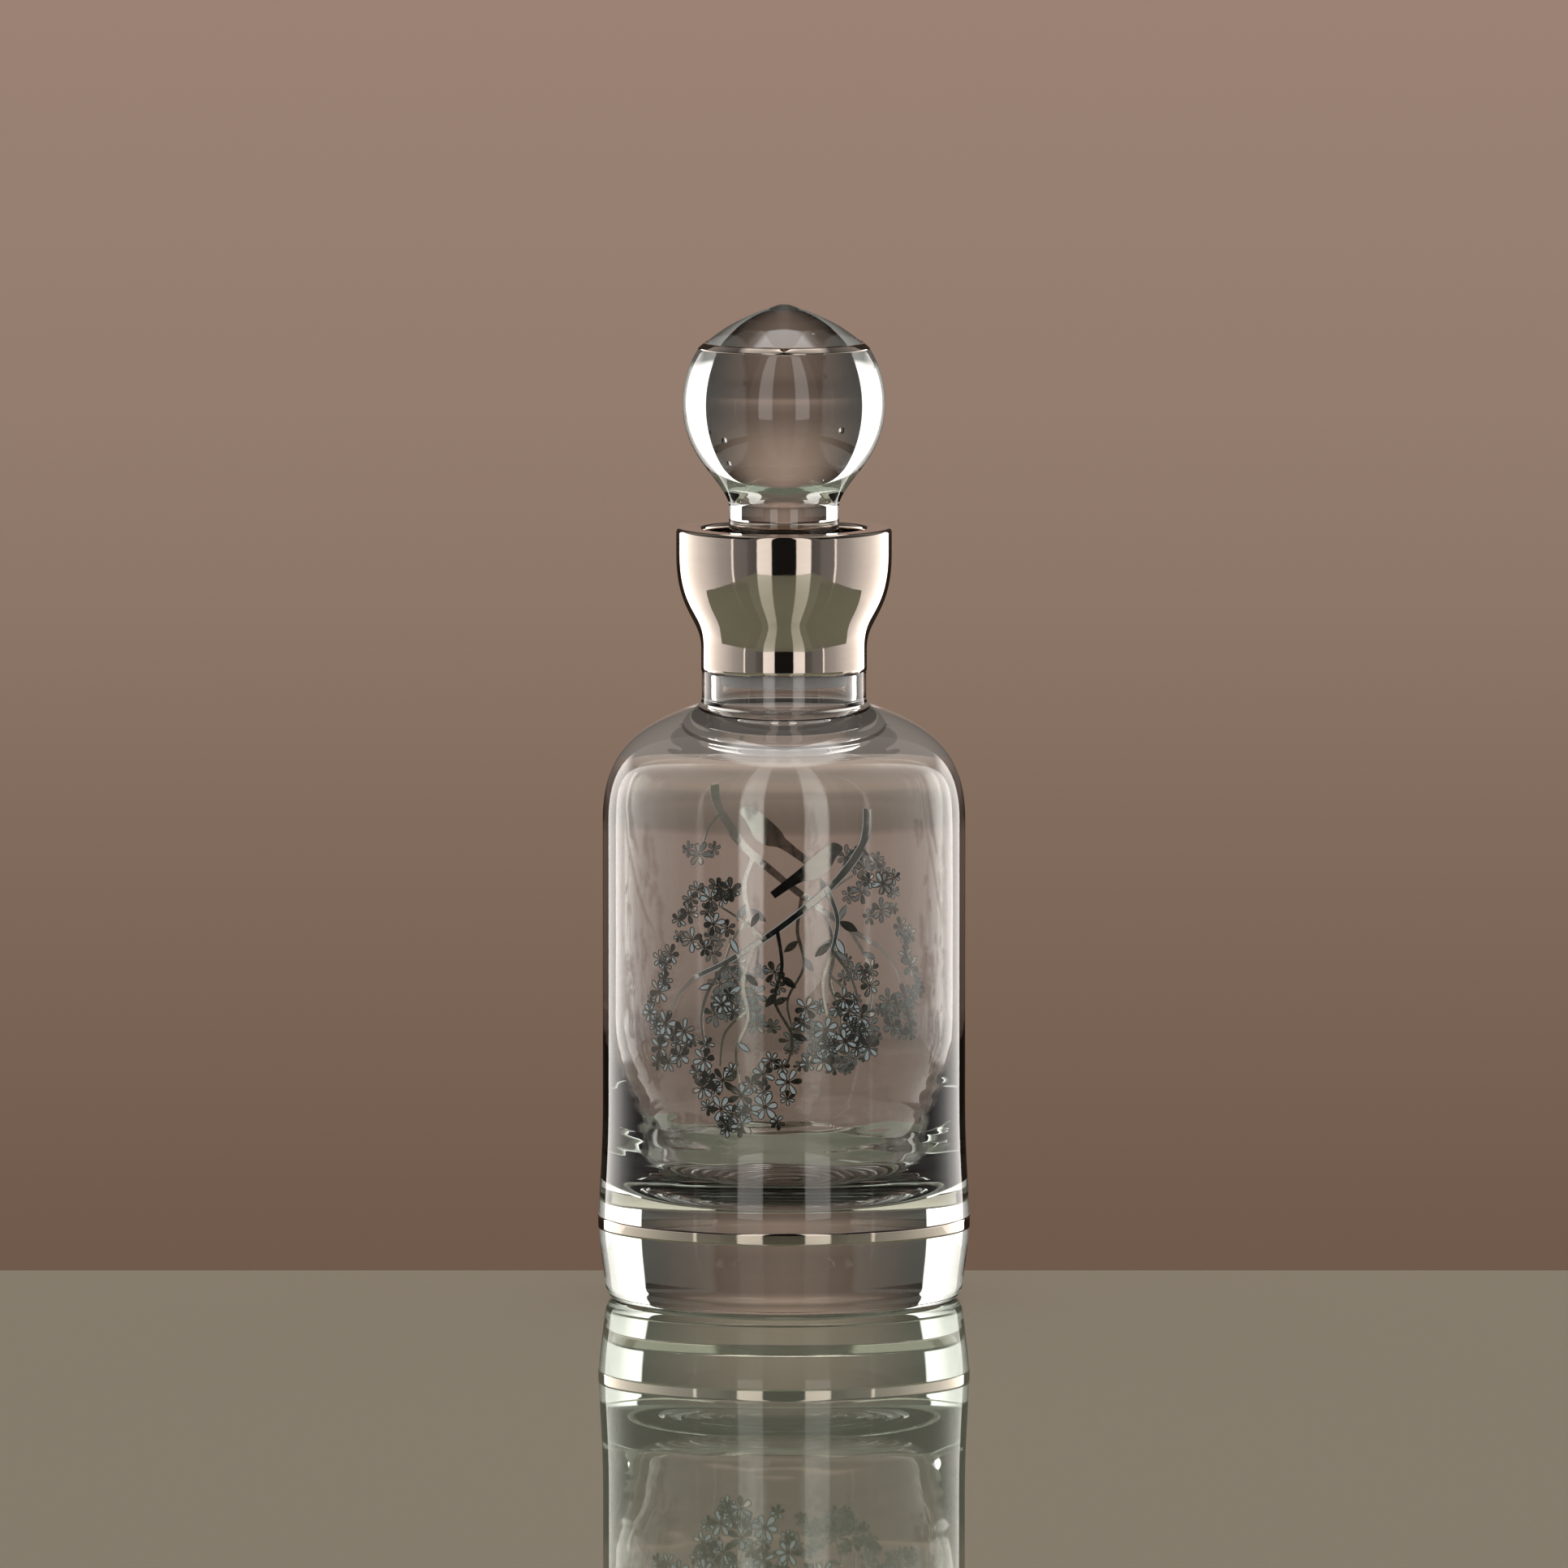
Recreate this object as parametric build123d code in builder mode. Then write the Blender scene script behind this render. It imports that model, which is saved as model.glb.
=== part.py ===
from build123d import *
import math
import os

os.makedirs("parts", exist_ok=True)

# Driving dimensions in millimetres. The bottle is turned about Z and stands on z = 0, front at -Y.
BODY_R = 36.4            # straight side of the body
FOOT_R = 37.2            # widest turn, at the foot band
FOOT_Z = 16.0
CONTACT_IN, CONTACT_OUT = 31.0, 33.2   # ring the bottle stands on
PUNT_H = 1.2             # hollow ground under the foot
CAVITY_R = 34.8          # blown hollow, 1.6 mm wall
FLOOR_Z = 19.2           # floor of the hollow
SHOULDER_Z = 96.0        # straight side ends here
NECK_R, NECK_Z = 16.5, 119.5
CUP_R, CUP_Z = 21.5, 150.0
RIM_Z, RIM_IN = 155.0, 16.4
RIM_ROUND = 0.8
COLLAR_Z, COLLAR_IN_Z = 126.5, 151.5   # metal coat ends, outside and inside the cup
THROAT_R = 13.8          # neck bore below the seat
SEAT_LOW, SEAT_TOP = 127.0, 138.0      # ground cone in the neck
PLUG_LOW = 123.6         # the plug hangs a little below its seat
SEAT_R, SEAT_TAPER = 12.8, 0.05        # radius at SEAT_LOW and growth per millimetre
SEAT_PLAY = 0.05         # running clearance of the ground plug
STEM_R = 11.05
BALL_R, BALL_Z = 20.35, 180.2
TIP_R, TIP_Z = 11.2, 195.6             # crease where the ball turns into its low cone
TOP_Z = 200.0
COAT, COAT_GAP = 0.12, 0.03            # fired metal film and its gap to the glass
BACK_TURN = 176.2        # the back print is the front one turned about Z


def seat_r(z):
    """Radius of the ground seat at a height."""
    return SEAT_R + SEAT_TAPER * (z - SEAT_LOW)


def bottle_outline():
    """Half section of the bottle glass, from the axis out and back in through the mouth."""
    punt_mid = (CONTACT_IN / 2, PUNT_H * 0.75)
    with BuildLine() as line:
        ThreePointArc((0, PUNT_H), punt_mid, (CONTACT_IN, 0))
        Line((CONTACT_IN, 0), (CONTACT_OUT, 0))
        Bezier((CONTACT_OUT, 0), (35.0, 0), (35.8, 1.2), (36.0, 3.4))
        Bezier((36.0, 3.4), (36.5, 8.0), (FOOT_R, 11.0), (FOOT_R, FOOT_Z))
        Bezier((FOOT_R, FOOT_Z), (FOOT_R, 22.0), (BODY_R, 28.0), (BODY_R, 40.0))
        Line((BODY_R, 40.0), (BODY_R, SHOULDER_Z))
        Bezier((BODY_R, SHOULDER_Z), (BODY_R, 108.0), (32.0, 114.5), (17.5, NECK_Z))
        Bezier((17.5, NECK_Z), (16.8, 119.75), (NECK_R, 120.3), (NECK_R, 121.2))
        Line((NECK_R, 121.2), (NECK_R, 131.0))
        Bezier((NECK_R, 131.0), (NECK_R, 137.0), (CUP_R, 138.0), (CUP_R, CUP_Z))
        Line((CUP_R, CUP_Z), (CUP_R, RIM_Z - RIM_ROUND))
        RadiusArc((CUP_R, RIM_Z - RIM_ROUND), (CUP_R - RIM_ROUND, RIM_Z), -RIM_ROUND)
        Line((CUP_R - RIM_ROUND, RIM_Z), (RIM_IN + RIM_ROUND, RIM_Z))
        RadiusArc((RIM_IN + RIM_ROUND, RIM_Z), (RIM_IN, RIM_Z - RIM_ROUND), -RIM_ROUND)
        top = seat_r(SEAT_TOP)
        Line((RIM_IN, RIM_Z - RIM_ROUND), (RIM_IN, COLLAR_IN_Z))
        Bezier((RIM_IN, COLLAR_IN_Z), (RIM_IN, 145.0), (top + 0.3, 144.0), (top, SEAT_TOP))
        Line((top, SEAT_TOP), (SEAT_R, SEAT_LOW))
        Bezier((SEAT_R, SEAT_LOW), (13.4, 126.8), (THROAT_R, 126.4), (THROAT_R, 125.6))
        Line((THROAT_R, 125.6), (THROAT_R, 117.4))
        Bezier((THROAT_R, 117.4), (THROAT_R, 115.6), (13.9, 114.7), (15.6, 114.5))
        Bezier((15.6, 114.5), (28.5, 113.0), (CAVITY_R, 110.5), (CAVITY_R, 97.0))
        Line((CAVITY_R, 97.0), (CAVITY_R, 56.0))
        Bezier((CAVITY_R, 56.0), (CAVITY_R, 44.0), (31.4, 38.0), (30.4, 31.0))
        Bezier((30.4, 31.0), (29.4, 24.0), (24.0, FLOOR_Z), (12.0, FLOOR_Z))
        Bezier((12.0, FLOOR_Z), (8.0, FLOOR_Z), (5.0, FLOOR_Z + 0.5), (0, FLOOR_Z + 0.5))
        Line((0, FLOOR_Z + 0.5), (0, PUNT_H))
    make_face(line.edges())


def stopper_outline():
    """Half section of the stopper: ground plug, stem, ball and its drawn-up tip."""
    low, high = PLUG_LOW, SEAT_TOP - 0.4
    low_r, high_r = seat_r(low + 0.6) - SEAT_PLAY, seat_r(high) - SEAT_PLAY
    join_z = BALL_Z - 12.2
    join_r = math.sqrt(BALL_R ** 2 - 12.2 ** 2)
    crown_z = BALL_Z + 10.7
    crown_r = math.sqrt(BALL_R ** 2 - 10.7 ** 2)
    with BuildLine() as line:
        Line((0, low), (low_r - 0.6, low))
        RadiusArc((low_r - 0.6, low), (low_r, low + 0.6), -0.6)
        Line((low_r, low + 0.6), (high_r, high))
        Bezier((high_r, high), (high_r + 0.05, high + 1.4), (STEM_R, high + 1.6), (STEM_R, high + 3.6))
        Line((STEM_R, high + 3.6), (STEM_R, 159.5))
        Bezier((STEM_R, 159.5), (STEM_R, 161.5), (join_r - 2.4, join_z - 3.2), (join_r, join_z))
        ThreePointArc((join_r, join_z), (BALL_R, BALL_Z), (crown_r, crown_z))
        Bezier((crown_r, crown_z), (crown_r - 0.8, crown_z + 1.0), (13.6, 194.0), (TIP_R, TIP_Z))
        Bezier((TIP_R, TIP_Z), (8.0, 197.45), (4.6, 198.75), (2.0, 199.55))
        Bezier((2.0, 199.55), (1.3, 199.78), (0.8, TOP_Z), (0, TOP_Z))
        Line((0, TOP_Z), (0, low))
    make_face(line.edges())


def coat(outline, window, out=(1.0, 0.0)):
    """Thin metal film on a turned glass wall that faces along out, kept inside the window polygon."""
    with BuildSketch() as glass:
        outline()
    near = Location((COAT_GAP * out[0], COAT_GAP * out[1], 0))
    far = Location(((COAT_GAP + COAT) * out[0], (COAT_GAP + COAT) * out[1], 0))
    with BuildSketch(Plane.XZ) as section:
        add(glass.sketch_local.moved(far))
        add(glass.sketch_local.moved(near), mode=Mode.SUBTRACT)
        with BuildLine() as frame:
            Polyline(*window, close=True)
        make_face(frame.edges(), mode=Mode.INTERSECT)
    revolve(section.sketch, axis=Axis.Z)


# The print is drawn flat in (s, z): s runs along the curved wall, z up.
PRINT_WINDOW = [(33.5, 33.0), (38.5, 33.0), (38.5, 104.0), (33.5, 104.0)]

BOUGH = [(17.4, 101.5), (16.4, 95.0), (11.6, 88.4), (4.5, 82.2), (-3.5, 76.2), (-11.5, 71.2), (-19.0, 67.6)]
SIDE_BOUGH = [(8.6, 85.8), (10.8, 79.6), (9.6, 73.0)]
TWIGS = [
    ([(-18.7, 67.7), (-22.6, 63.8), (-24.6, 60.2)], 0.8, 0.4),
    ([(-11.2, 71.4), (-15.4, 65.4), (-17.0, 59.6), (-16.2, 53.6)], 0.8, 0.4),
    ([(-6.0, 74.6), (-8.2, 67.0), (-7.2, 60.0), (-9.6, 53.6), (-8.9, 47.0)], 0.8, 0.4),
    ([(-1.4, 77.8), (-0.4, 70.4), (-1.8, 63.4), (1.6, 56.4), (0.6, 50.6)], 0.8, 0.4),
    ([(-7.4, 61.4), (-12.0, 56.8), (-13.0, 50.2)], 0.6, 0.35),
    ([(9.7, 73.4), (13.4, 68.4), (15.6, 62.6)], 0.7, 0.4),
    ([(9.8, 73.6), (7.8, 67.2), (8.6, 60.6)], 0.7, 0.4),
    ([(-4.0, 76.0), (-8.6, 79.6), (-12.6, 82.0)], 0.6, 0.35),
    ([(15.6, 94.0), (18.6, 91.0), (19.8, 88.8)], 0.6, 0.35),
]
# Leaves and buds: stem point, heading in degrees, length, width.
LEAVES = [
    (11.2, 79.2, -28, 4.4, 1.7), (10.4, 76.0, -62, 4.0, 1.5), (9.4, 75.0, -140, 4.2, 1.5),
    (-1.4, 65.2, -128, 3.8, 1.4), (-0.6, 68.4, -38, 3.8, 1.4), (-7.8, 68.8, -42, 3.6, 1.3),
    (-8.4, 66.4, 214, 3.4, 1.3), (-14.4, 66.4, 196, 3.4, 1.2), (-9.2, 72.8, 118, 3.6, 1.3),
    (1.6, 56.8, -22, 3.4, 1.3), (-9.4, 55.0, -34, 3.2, 1.2), (-6.6, 78.2, 62, 3.4, 1.2),
]
# Blossoms by cluster: centre s, centre z, radius, turn in degrees.
UPPER = [(-15.0, 83.6, 2.3, 5), (-10.8, 85.6, 2.1, 30), (-14.4, 78.6, 2.1, 12), (-19.2, 75.2, 2.2, 22),
         (20.8, 86.4, 2.2, 8), (-19.9, 80.6, 2.0, 40), (-24.4, 72.0, 2.1, 2)]
LEFT = [(-27.4, 64.4, 2.3, 18), (-25.6, 58.0, 2.4, 4), (-21.0, 56.8, 2.2, 26), (-30.0, 60.0, 2.0, 10),
        (-22.2, 51.8, 2.3, 33), (-16.4, 51.4, 2.2, 14), (-27.2, 53.2, 2.1, 20), (-12.6, 62.6, 1.9, 7)]
LOWER = [(-12.4, 47.4, 2.3, 9), (-8.6, 44.4, 2.5, 28), (-16.8, 45.6, 2.1, 17), (-12.8, 41.6, 2.4, 3),
         (-4.2, 48.8, 2.1, 36), (-3.8, 42.2, 2.5, 12), (-8.6, 38.6, 2.3, 24), (0.8, 47.2, 2.4, 1)]
RIGHT = [(16.0, 60.0, 2.5, 6), (8.4, 57.6, 2.4, 21), (12.4, 55.2, 2.2, 34), (17.8, 66.2, 2.1, 15),
         (4.4, 62.0, 2.1, 11), (12.0, 63.8, 1.9, 29), (17.4, 53.8, 2.3, 19), (8.0, 51.4, 2.2, 2)]
PETALS = 6

BIRD_AT, BIRD_SIZE = (5.6, 89.6), 0.95
BIRD_BACK = [(6.9, 4.5), (5.6, 5.5), (4.2, 5.7), (2.6, 4.7), (0.4, 3.0), (-2.8, 0.2), (-8.8, -4.6)]
BIRD_TAIL = [(-8.8, -4.6), (-9.8, -6.4), (-7.8, -5.9)]
BIRD_BELLY = [(-7.8, -5.9), (-2.6, -2.6), (0.8, -1.9), (3.6, 0.0), (5.2, 2.6), (6.9, 4.5)]


def on_wall(s, z):
    """Point of the flat print as seen square on, once it lies on the round wall."""
    return (BODY_R * math.sin(s / BODY_R), z)


def stroke(path, w_start, w_end, grow=0.0):
    """Tapered brush stroke along a path."""
    left, right = [], []
    for i, (s, z) in enumerate(path):
        a, b = path[max(i - 1, 0)], path[min(i + 1, len(path) - 1)]
        ds, dz = b[0] - a[0], b[1] - a[1]
        size = math.hypot(ds, dz)
        half = (w_start + (w_end - w_start) * i / (len(path) - 1)) / 2 + grow
        left.append(on_wall(s - dz / size * half, z + ds / size * half))
        right.append(on_wall(s + dz / size * half, z - ds / size * half))
    with BuildLine() as line:
        Spline(*left)
        Line(left[-1], right[-1])
        Spline(*reversed(right))
        Line(right[0], left[0])
    make_face(line.edges())


def turned(s, z, heading, along, across):
    """Point at a distance along and across a heading."""
    c, n = math.cos(math.radians(heading)), math.sin(math.radians(heading))
    return on_wall(s + along * c - across * n, z + along * n + across * c)


def leaf(s, z, heading, length, width):
    """Pointed leaf."""
    with BuildLine() as line:
        base, tip = turned(s, z, heading, 0, 0), turned(s, z, heading, length, 0)
        ThreePointArc(base, turned(s, z, heading, length * 0.5, width / 2), tip)
        ThreePointArc(tip, turned(s, z, heading, length * 0.5, -width / 2), base)
    make_face(line.edges())


def petal(s, z, heading, start, length, width):
    """Petal, narrow at the heart and round at the tip."""
    with BuildLine() as line:
        base, tip = turned(s, z, heading, start, 0), turned(s, z, heading, length, 0)
        for side in (1, -1):
            Bezier(base, turned(s, z, heading, start + length * 0.3, side * width * 0.6),
                   turned(s, z, heading, length, side * width * 0.75), tip)
    make_face(line.edges())


def bough_faces(grow=0.0):
    """Main bough and its side bough."""
    stroke(BOUGH, 2.0, 1.0, grow)
    stroke(SIDE_BOUGH, 1.2, 0.8, grow)


def twig_faces(grow=0.0):
    """Twigs and leaves."""
    for path, w_start, w_end in TWIGS:
        stroke(path, w_start, w_end, grow)
    for s, z, heading, length, width in LEAVES:
        leaf(s, z, heading, length, width + 2 * grow)


def bird_face():
    """Small perching bird."""
    def place(points):
        return [on_wall(BIRD_AT[0] + BIRD_SIZE * p, BIRD_AT[1] + BIRD_SIZE * q) for p, q in points]
    with BuildLine() as line:
        Spline(*place(BIRD_BACK))
        Polyline(*place(BIRD_TAIL))
        Spline(*place(BIRD_BELLY))
    make_face(line.edges())


def printed(sketch_faces, cut_faces=None):
    """Part of the print film: flat faces pushed through the wall skin."""
    with BuildPart() as film:
        coat(bottle_outline, PRINT_WINDOW)
        with BuildSketch(Plane.XZ) as drawing:
            sketch_faces()
        if cut_faces:
            with BuildSketch(Plane.XZ) as cut:
                cut_faces()
            with BuildSketch(Plane.XZ) as rest:
                add(drawing.sketch)
                add(cut.sketch, mode=Mode.SUBTRACT)
            extrude(to_extrude=rest.sketch, amount=45, mode=Mode.INTERSECT)
        else:
            extrude(to_extrude=drawing.sketch, amount=45, mode=Mode.INTERSECT)
    return film


def save(film, label):
    film.part.label = label
    export_step(film.part, "parts/" + label + ".step")
    print(label, len(film.part.solids()), round(film.part.volume, 4))


def turned_glass(outline):
    """Glass turned about Z from its half section."""
    with BuildPart() as glass:
        with BuildSketch(Plane.XZ):
            outline()
        revolve(axis=Axis.Z)
    return glass


def collar_run(gap):
    """Coat line at a gap from the glass: up the neck and cup, over the rim and a little way in."""
    Line((NECK_R + gap, COLLAR_Z), (NECK_R + gap, 131.0))
    Bezier((NECK_R + gap, 131.0), (NECK_R + gap, 137.0), (CUP_R + gap, 138.0), (CUP_R + gap, CUP_Z))
    Line((CUP_R + gap, CUP_Z), (CUP_R + gap, RIM_Z - RIM_ROUND))
    RadiusArc((CUP_R + gap, RIM_Z - RIM_ROUND), (CUP_R - RIM_ROUND, RIM_Z + gap), -RIM_ROUND - gap)
    Line((CUP_R - RIM_ROUND, RIM_Z + gap), (RIM_IN + RIM_ROUND, RIM_Z + gap))
    RadiusArc((RIM_IN + RIM_ROUND, RIM_Z + gap), (RIM_IN - gap, RIM_Z - RIM_ROUND), -RIM_ROUND - gap)
    Line((RIM_IN - gap, RIM_Z - RIM_ROUND), (RIM_IN - gap, COLLAR_IN_Z))


def make_collar():
    """Mirror coat of the upper neck and cup, turned over the rim."""
    with BuildPart() as film:
        with BuildSketch(Plane.XZ) as section:
            with BuildLine() as line:
                collar_run(COAT_GAP)
                collar_run(COAT_GAP + COAT)
                Line((NECK_R + COAT_GAP, COLLAR_Z), (NECK_R + COAT_GAP + COAT, COLLAR_Z))
                Line((RIM_IN - COAT_GAP, COLLAR_IN_Z), (RIM_IN - COAT_GAP - COAT, COLLAR_IN_Z))
            make_face(line.edges())
        revolve(axis=Axis.Z)
    return film


def make_foot_band():
    with BuildPart() as film:
        coat(bottle_outline, [(36.5, 14.4), (38, 14.4), (38, 16.9), (36.5, 16.9)])
    return film


def make_ball_band():
    with BuildPart() as film:
        coat(stopper_outline, [(13, 190.9), (18, 190.9), (18, 192.4), (13, 192.4)], (0.7, 0.7))
    return film


def make_blossoms(cluster):
    def faces():
        for s, z, radius, turn in cluster:
            for k in range(PETALS):
                heading = turn + 360.0 / PETALS * k
                petal(s, z, heading, radius * 0.2, radius, radius * 0.42)

    def lines():
        bough_faces(0.06)
        twig_faces(0.06)
    return printed(faces, lines)


save(turned_glass(bottle_outline), "bottle_glass")
save(turned_glass(stopper_outline), "stopper_glass")
save(make_collar(), "collar_platinum")
save(make_foot_band(), "foot_band_platinum")
save(make_ball_band(), "ball_band_platinum")

FRONT = {
    "bough": printed(bough_faces),
    "twigs": printed(twig_faces, lambda: bough_faces(0.04)),
    "bird": printed(bird_face),
    "blossoms_upper": make_blossoms(UPPER),
    "blossoms_left": make_blossoms(LEFT),
    "blossoms_lower": make_blossoms(LOWER),
    "blossoms_right": make_blossoms(RIGHT),
}
for name, film in FRONT.items():
    save(film, "front_" + name)
    with BuildPart() as turned_film:
        add(film.part, rotation=(0, 0, BACK_TURN))
    save(turned_film, "back_" + name)
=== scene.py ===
"""Looks of a stoppered perfume bottle: clear glass, fired platinum and a printed branch.

Lengths are in millimetres and become metres (MM) where vertices are made. The bottle stands on a plain
glossy table. The plain cloth behind it and the lamps are one world.
"""
import math
import random

import bpy
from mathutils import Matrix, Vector, noise


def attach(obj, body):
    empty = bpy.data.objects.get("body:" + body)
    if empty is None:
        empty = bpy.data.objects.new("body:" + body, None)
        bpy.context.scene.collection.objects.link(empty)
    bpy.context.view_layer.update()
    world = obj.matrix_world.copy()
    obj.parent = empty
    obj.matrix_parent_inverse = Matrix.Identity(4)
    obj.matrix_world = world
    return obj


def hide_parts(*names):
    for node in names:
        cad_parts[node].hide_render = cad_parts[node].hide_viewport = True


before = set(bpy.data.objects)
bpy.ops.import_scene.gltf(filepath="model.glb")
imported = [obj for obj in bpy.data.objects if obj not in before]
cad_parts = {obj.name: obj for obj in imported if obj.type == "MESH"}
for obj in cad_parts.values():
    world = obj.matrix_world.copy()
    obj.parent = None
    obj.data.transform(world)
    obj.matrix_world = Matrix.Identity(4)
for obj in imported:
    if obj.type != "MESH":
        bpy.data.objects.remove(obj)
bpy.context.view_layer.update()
MM = 0.001

# ---------------------------------------------------------------- outlines: (radius, height)
BODY_R, FOOT_R, FOOT_Z = 36.4, 37.2, 16.0
CONTACT_IN, CONTACT_OUT, PUNT_H = 31.0, 33.2, 1.2
CAVITY_R, FLOOR_Z, SHOULDER_Z = 34.8, 19.2, 96.0
NECK_R, NECK_Z, CUP_R, CUP_Z = 16.5, 119.5, 21.5, 150.0
RIM_Z, RIM_IN, RIM_ROUND = 155.0, 16.4, 0.8
COLLAR_Z, COLLAR_IN_Z = 126.5, 151.5
THROAT_R, PLUG_LOW = 13.8, 123.6
SEAT_LOW, SEAT_TOP, SEAT_R, SEAT_TAPER, SEAT_PLAY = 127.0, 138.0, 12.8, 0.05, 0.05
STEM_R, BALL_R, BALL_Z, TOP_Z = 11.05, 20.35, 180.2, 200.0
NECK_JOIN, CREASE = 12.2, 10.7         # below and above the ball's centre: where the stem and the tip begin
TIP_R, TIP_Z = 11.2, 195.6
BACK_TURN = math.radians(176.2)
KAPPA = 0.5523                         # handle length of a quarter circle
PUNT_RINGS = 0.07                      # height of the turning rings under the foot


def seat_r(z):
    """Radius of the ground conical seat at a height."""
    return SEAT_R + SEAT_TAPER * (z - SEAT_LOW)


class Outline:
    """Points (r, z, tag) along a half section. The tag says which finish the stretch has."""

    def __init__(self, r, z, tag):
        self.points = [(r, z, tag)]

    def line(self, r, z, count, tag):
        r0, z0, _ = self.points[-1]
        for i in range(1, count + 1):
            t = i / count
            self.points.append((r0 + (r - r0) * t, z0 + (z - z0) * t, tag))
        return self

    def curve(self, c1, c2, end, count, tag):
        p0 = self.points[-1][:2]
        for i in range(1, count + 1):
            t = i / count
            u = 1 - t
            w = (u ** 3, 3 * u * u * t, 3 * u * t * t, t ** 3)
            self.points.append((w[0] * p0[0] + w[1] * c1[0] + w[2] * c2[0] + w[3] * end[0],
                                w[0] * p0[1] + w[1] * c1[1] + w[2] * c2[1] + w[3] * end[1], tag))
        return self

    def corner(self, r, z, across_first, count, tag):
        """Quarter-round to (r, z), leaving along r if across_first, else along z."""
        r0, z0, _ = self.points[-1]
        if across_first:
            c1, c2 = (r0 + (r - r0) * KAPPA, z0), (r, z - (z - z0) * KAPPA)
        else:
            c1, c2 = (r0, z0 + (z - z0) * KAPPA), (r - (r - r0) * KAPPA, z)
        return self.curve(c1, c2, (r, z), count, tag)


def bottle_outline():
    """The bottle from the middle of its underside, up the outside, over the rim and down the inside."""
    o = Outline(0, PUNT_H, "under")
    for i in range(1, 97):
        r = CONTACT_IN * i / 96
        z = PUNT_H * (1 - (r / CONTACT_IN) ** 2)
        if r > 3:
            ease = min(1, (CONTACT_IN - r) / 8, (r - 3) / 2)
            z += PUNT_RINGS * math.sin(r * 1.9 + 1.4 * math.sin(r * 0.45)) * ease
        o.points.append((r, max(z, 0), "under"))
    o.line(CONTACT_OUT, 0, 4, "under")
    o.curve((35.0, 0), (35.8, 1.2), (36.0, 3.4), 16, "out")
    o.curve((36.5, 8.0), (FOOT_R, 11.0), (FOOT_R, FOOT_Z), 14, "out")
    o.curve((FOOT_R, 22.0), (BODY_R, 28.0), (BODY_R, 40.0), 18, "out")
    o.line(BODY_R, SHOULDER_Z, 28, "out")
    o.curve((BODY_R, 108.0), (32.0, 114.5), (17.5, NECK_Z), 48, "out")
    o.curve((16.8, 119.75), (NECK_R, 120.3), (NECK_R, 121.2), 12, "out")
    o.line(NECK_R, 131.0, 8, "out")
    o.curve((NECK_R, 137.0), (CUP_R, 138.0), (CUP_R, CUP_Z), 28, "out")
    o.line(CUP_R, RIM_Z - RIM_ROUND, 4, "out")
    o.corner(CUP_R - RIM_ROUND, RIM_Z, False, 8, "out")
    o.line(RIM_IN + RIM_ROUND, RIM_Z, 5, "out")
    o.corner(RIM_IN, RIM_Z - RIM_ROUND, True, 8, "in")
    o.line(RIM_IN, COLLAR_IN_Z, 3, "in")
    top = seat_r(SEAT_TOP)
    o.curve((RIM_IN, 145.0), (top + 0.3, 144.0), (top, SEAT_TOP), 18, "in")
    o.line(SEAT_R, SEAT_LOW, 10, "ground")
    o.curve((13.4, 126.8), (THROAT_R, 126.4), (THROAT_R, 125.6), 8, "in")
    o.line(THROAT_R, 117.4, 8, "in")
    o.curve((THROAT_R, 115.6), (13.9, 114.7), (15.6, 114.5), 14, "in")
    o.curve((28.5, 113.0), (CAVITY_R, 110.5), (CAVITY_R, 97.0), 44, "crown")
    o.line(CAVITY_R, 56.0, 26, "in")
    o.curve((CAVITY_R, 44.0), (31.4, 38.0), (30.4, 31.0), 26, "in")
    o.curve((29.4, 24.0), (24.0, FLOOR_Z), (12.0, FLOOR_Z), 36, "in")
    o.curve((8.0, FLOOR_Z), (5.0, FLOOR_Z + 0.5), (0, FLOOR_Z + 0.5), 16, "in")
    return o.points


def stopper_outline():
    """The stopper from the middle of its plug's underside up to the tip."""
    low, high = PLUG_LOW, SEAT_TOP - 0.4
    low_r, high_r = seat_r(low + 0.6) - SEAT_PLAY, seat_r(high) - SEAT_PLAY
    join_z, crown_z = BALL_Z - NECK_JOIN, BALL_Z + CREASE
    join_r = math.sqrt(BALL_R ** 2 - NECK_JOIN ** 2)
    crown_r = math.sqrt(BALL_R ** 2 - CREASE ** 2)
    o = Outline(0, low, "ground")
    o.line(low_r - 0.6, low, 14, "ground")
    o.corner(low_r, low + 0.6, True, 6, "ground")
    o.line(high_r, high, 12, "ground")
    o.curve((high_r + 0.05, high + 1.4), (STEM_R, high + 1.6), (STEM_R, high + 3.6), 12, "out")
    o.line(STEM_R, 159.5, 12, "out")
    o.curve((STEM_R, 161.5), (join_r - 2.4, join_z - 3.2), (join_r, join_z), 20, "out")
    a0, a1 = math.atan2(-NECK_JOIN, join_r), math.atan2(CREASE, crown_r)
    for i in range(1, 61):
        a = a0 + (a1 - a0) * i / 60
        o.points.append((BALL_R * math.cos(a), BALL_Z + BALL_R * math.sin(a), "out"))
    o.curve((crown_r - 0.8, crown_z + 1.0), (13.6, 194.0), (TIP_R, TIP_Z), 20, "out")
    o.curve((8.0, 197.45), (4.6, 198.75), (2.0, 199.55), 16, "out")
    o.curve((1.3, 199.78), (0.8, TOP_Z), (0, TOP_Z), 8, "out")
    return o.points


def new_piece(name, verts, faces, marks, materials, body, slot, *nodes):
    """A smooth mesh object that rides on a body and stands for its CAD nodes.

    marks gives the material index of each face."""
    mesh = bpy.data.meshes.new(name)
    mesh.from_pydata(verts, [], faces)
    for m in materials:
        mesh.materials.append(m)
    mesh.polygons.foreach_set("material_index", marks)
    mesh.polygons.foreach_set("use_smooth", [True] * len(faces))
    mesh.validate()
    mesh.update()
    obj = bpy.data.objects.new(name, mesh)
    bpy.context.scene.collection.objects.link(obj)
    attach(obj, body)
    if nodes:
        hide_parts(*nodes)
    return obj


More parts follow.
